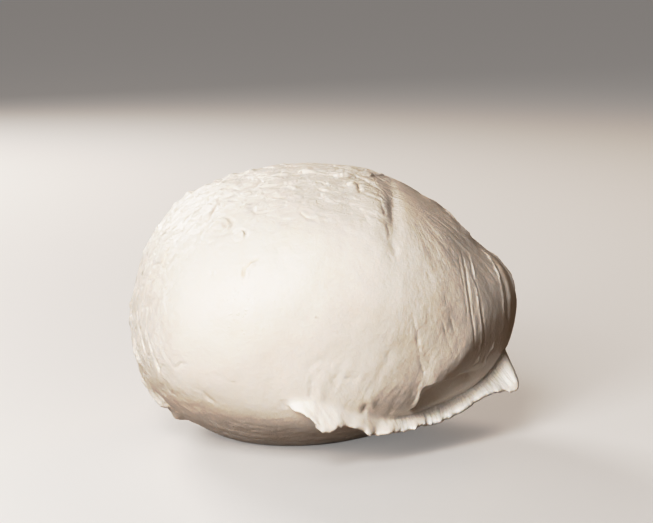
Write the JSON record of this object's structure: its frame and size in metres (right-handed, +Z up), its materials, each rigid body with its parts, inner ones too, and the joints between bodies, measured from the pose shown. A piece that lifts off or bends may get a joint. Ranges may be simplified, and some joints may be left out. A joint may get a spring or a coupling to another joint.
{
  "type": "mozzarella ball",
  "caption": "Fresh mozzarella ball: egg-shaped soft white cheese with a ribbed pinched lip, a thumb hollow and wrinkled moist skin, resting on a flat spot.",
  "frame": {"origin": "centre of the bounding box in plan, on the board that the ball rests on", "axes": "+X along the ball from its broad end to its narrow end, -Y the front with the pinched lip, +Z up"},
  "size_m": [0.0916, 0.0765, 0.0648],
  "materials": {
    "fresh_cheese": "moist satin, milky white"
  },
  "bodies": {
    "root": {"mozzarella_ball": "fresh_cheese"}
  },
  "joints": []
}
